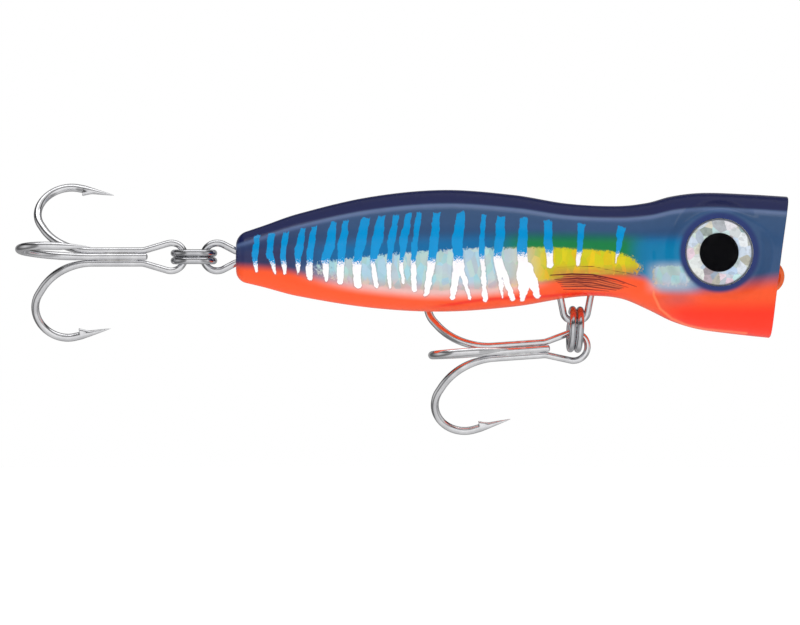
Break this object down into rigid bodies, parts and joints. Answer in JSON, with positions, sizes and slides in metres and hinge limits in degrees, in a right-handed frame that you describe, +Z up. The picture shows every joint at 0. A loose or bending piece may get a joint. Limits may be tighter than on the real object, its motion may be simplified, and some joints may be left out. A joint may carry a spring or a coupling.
{
  "type": "topwater popper lure",
  "caption": "Cup-faced floating popper lure: two-part hollow body on a through-wire, moulded eyes, rattles, keel ballast and treble hooks on split rings.",
  "frame": {"origin": "centre of the line-tie loop in the cup", "axes": "+X forward out of the cup along the body, +Z up through the back, +Y to the lure's left"},
  "size_m": [0.1814, 0.0332, 0.06],
  "materials": {
    "painted_body": "clear-coated paint: navy back, blue and foil flanks with pale bars, orange belly",
    "harness_wire": "drawn stainless wire, bright, the line tie painted orange",
    "eye_foil": "holographic silver foil",
    "eye_pupil": "gloss black",
    "eye_lens": "clear domed resin",
    "ring_steel": "polished stainless",
    "hook_plating": "bright tin plate",
    "lead": "dull cast lead",
    "rattle_steel": "polished steel ball"
  },
  "bodies": {
    "body": {"left_body_shell": "painted_body", "right_body_shell": "painted_body", "through_wire": "harness_wire", "left_eye_foil": "eye_foil", "left_eye_pupil": "eye_pupil", "left_eye_lens": "eye_lens", "right_eye_foil": "eye_foil", "right_eye_pupil": "eye_pupil", "right_eye_lens": "eye_lens", "tail_weight": "lead", "keel_weight": "lead"},
    "rattle_ball_1": {"rattle_ball_1": "rattle_steel"},
    "rattle_ball_2": {"rattle_ball_2": "rattle_steel"},
    "rattle_ball_3": {"rattle_ball_3": "rattle_steel"},
    "tail_ring": {"tail_split_ring": "ring_steel"},
    "tail_treble": {"tail_treble_pair": "hook_plating", "tail_treble_third": "hook_plating"},
    "belly_ring": {"belly_split_ring": "ring_steel"},
    "belly_treble": {"belly_treble_pair": "hook_plating", "belly_treble_third": "hook_plating"}
  },
  "joints": [
    {"name": "tail_ring_swing", "type": "hinge", "parent": "body", "child": "tail_ring", "pos_m": [-0.13222, 0, 0.0046], "axis": [0, 0, 1], "range_deg": [-75, 75]},
    {"name": "tail_treble_swing", "type": "hinge", "parent": "tail_ring", "child": "tail_treble", "pos_m": [-0.13986, 0, 0.0046], "axis": [0, 1, 0], "range_deg": [-90, 90]},
    {"name": "belly_ring_swing", "type": "hinge", "parent": "body", "child": "belly_ring", "pos_m": [-0.04523, 0, -0.0103], "axis": [-1, 0, 0], "range_deg": [0, 64]},
    {"name": "belly_treble_swing", "type": "hinge", "parent": "belly_ring", "child": "belly_treble", "pos_m": [-0.04555, 0.00382, -0.01642], "axis": [0, -0.848, -0.5299], "range_deg": [0, 135]},
    {"name": "rattle_roll_1", "type": "slide", "parent": "body", "child": "rattle_ball_1", "axis": [1, 0, 0], "range_m": [-0.0015, 0.0015]},
    {"name": "rattle_roll_2", "type": "slide", "parent": "body", "child": "rattle_ball_2", "axis": [1, 0, 0], "range_m": [-0.0015, 0.0015]},
    {"name": "rattle_roll_3", "type": "slide", "parent": "body", "child": "rattle_ball_3", "axis": [1, 0, 0], "range_m": [-0.0015, 0.0015]}
  ]
}
